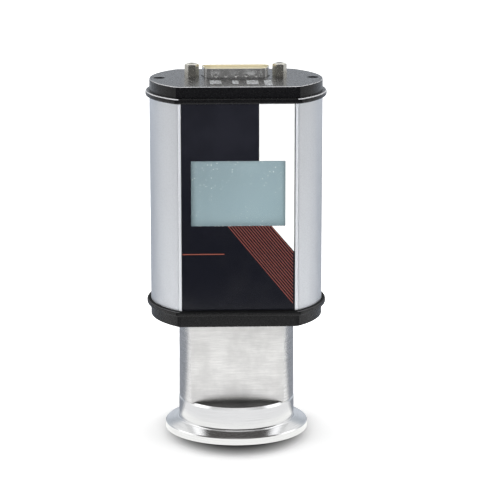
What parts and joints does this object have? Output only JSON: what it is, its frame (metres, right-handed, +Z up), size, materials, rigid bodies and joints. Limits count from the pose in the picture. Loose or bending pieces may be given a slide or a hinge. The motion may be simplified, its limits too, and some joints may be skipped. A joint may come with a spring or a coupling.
{
  "type": "pirani vacuum gauge",
  "caption": "Pirani vacuum gauge head: heated-wire sensor sleeve on a clamp flange, aluminium housing with display window, plug on the top cap.",
  "frame": {"origin": "centre of the clamp flange's sealing face, at the bottom of the gauge", "axes": "+Z up along the gauge's axis, away from the flange; the display faces -Y; +X to the right as seen from the front"},
  "size_m": [0.0686, 0.055, 0.1417],
  "materials": {
    "steel": "turned stainless steel",
    "sleeve_steel": "milled and brushed stainless steel",
    "header_steel": "plain machined metal",
    "bead_glass": "fused sealing glass",
    "gold": "gold-plated contact metal",
    "tungsten": "drawn wire",
    "ceramic_white": "coated resistor body",
    "board_green": "green circuit board",
    "cap_black": "black moulding with a coarse grain",
    "screw_steel": "plain screw steel",
    "housing_aluminium": "satin anodised aluminium",
    "label_black": "printed film, semi-gloss black",
    "ink_white": "white print",
    "ink_orange": "orange-red print",
    "window_clear": "clear pane",
    "lcd_grey_green": "unlit display glass",
    "black_plastic": "black moulded plastic",
    "capacitor_sleeve": "dark shrink sleeve",
    "shell_nickel": "plated sheet steel",
    "post_nickel": "nickel-plated steel"
  },
  "bodies": {
    "root": {"flange_body": "steel", "sensor_sleeve": "sleeve_steel", "port_screen": "steel", "sensor_header": "header_steel", "header_glass_beads": "bead_glass", "header_pins": "gold", "filament_support": "gold", "filament": "tungsten", "reference_element": "ceramic_white", "sensor_board": "board_green", "bottom_cap": "cap_black", "bottom_cap_screws": "screw_steel", "sleeve_screws": "screw_steel", "housing_extrusion": "housing_aluminium", "front_label": "label_black", "label_white_field": "ink_white", "label_stripes": "ink_orange", "label_rule": "ink_orange", "display_window": "window_clear", "lcd_panel": "lcd_grey_green", "lcd_frame": "black_plastic", "display_board": "board_green", "main_board": "board_green", "microcontroller": "black_plastic", "capacitors": "capacitor_sleeve", "voltage_regulator": "black_plastic", "board_link": "black_plastic", "top_cap": "cap_black", "top_cap_screws": "screw_steel", "dsub_shell": "shell_nickel", "dsub_insulator": "black_plastic", "dsub_pins": "gold", "connector_board": "board_green", "jack_posts": "post_nickel", "jack_nuts": "post_nickel"}
  },
  "joints": []
}
